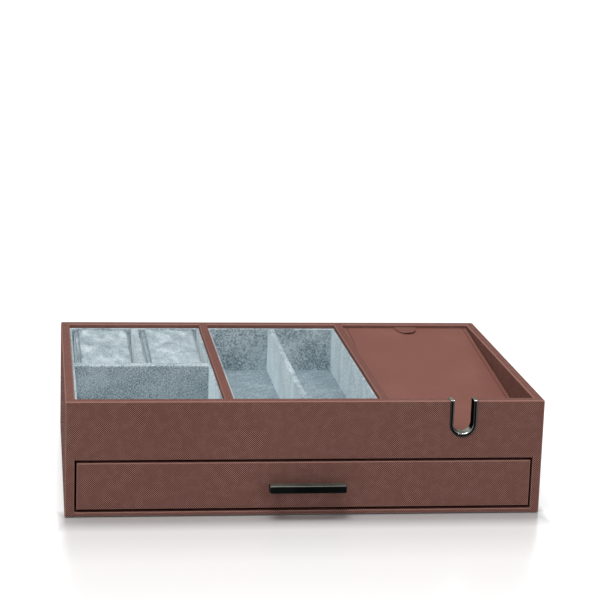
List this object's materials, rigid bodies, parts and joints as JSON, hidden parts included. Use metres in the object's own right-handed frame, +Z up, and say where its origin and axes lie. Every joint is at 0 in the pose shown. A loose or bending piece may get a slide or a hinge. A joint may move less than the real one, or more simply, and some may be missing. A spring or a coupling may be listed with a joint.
{
  "type": "valet box with drawer",
  "caption": "Low leather-covered valet box with suede-lined open bays, watch pillows and a sloping phone ramp above one shallow drawer",
  "frame": {"origin": "centre of the flat underside", "axes": "+X to the right seen from the drawer side, +Y to the back, +Z up"},
  "size_m": [0.356, 0.267, 0.0884],
  "materials": {
    "grained_leather": "satin cross-hatch grain",
    "smooth_leather": "smooth satin",
    "suede": "brushed nap",
    "felt": "matt felt",
    "board": "plain fibreboard",
    "gunmetal": "polished black chrome",
    "steel": "zinc plated"
  },
  "bodies": {
    "case": {"front_frame": "grained_leather", "back_panel": "grained_leather", "left_side_panel": "grained_leather", "right_side_panel": "grained_leather", "base_panel": "grained_leather", "base_felt": "felt", "tray_deck": "board", "left_bay_divider": "grained_leather", "right_bay_divider": "grained_leather", "cable_notch_trim": "gunmetal", "left_bay_front_lining": "suede", "left_bay_back_lining": "suede", "left_bay_left_lining": "suede", "left_bay_right_lining": "suede", "left_bay_floor_pad": "suede", "watch_rail": "suede", "watch_partition": "suede", "middle_bay_front_lining": "suede", "middle_bay_back_lining": "suede", "middle_bay_left_lining": "suede", "middle_bay_right_lining": "suede", "middle_bay_floor_pad": "suede", "middle_bay_partition": "suede", "ramp_cleat_left": "board", "ramp_cleat_right": "board", "cable_bay_floor_pad": "suede", "drawer_glide_left": "felt", "drawer_glide_right": "felt"},
    "drawer": {"drawer_front": "grained_leather", "drawer_left_side": "grained_leather", "drawer_right_side": "grained_leather", "drawer_back": "grained_leather", "drawer_bottom": "board", "drawer_front_lining": "suede", "drawer_back_lining": "suede", "drawer_left_lining": "suede", "drawer_right_lining": "suede", "drawer_floor_pad": "suede", "drawer_pull": "gunmetal", "drawer_pull_screws": "steel"},
    "ramp": {"phone_ramp": "smooth_leather", "ramp_pull_tab": "smooth_leather"},
    "left_pillow": {"watch_pillow_left": "suede"},
    "right_pillow": {"watch_pillow_right": "suede"}
  },
  "joints": [
    {"name": "drawer_slide", "type": "slide", "parent": "case", "child": "drawer", "axis": [0, -1, 0], "range_m": [0, 0.165]},
    {"name": "ramp_hinge", "type": "hinge", "parent": "case", "child": "ramp", "pos_m": [0.11633, -0.1157, 0.06049], "axis": [1, 0, 0], "range_deg": [0, 75]},
    {"name": "left_pillow_lift", "type": "slide", "parent": "case", "child": "left_pillow", "axis": [0, 0, 1], "range_m": [0, 0.05]},
    {"name": "right_pillow_lift", "type": "slide", "parent": "case", "child": "right_pillow", "axis": [0, 0, 1], "range_m": [0, 0.05]}
  ]
}
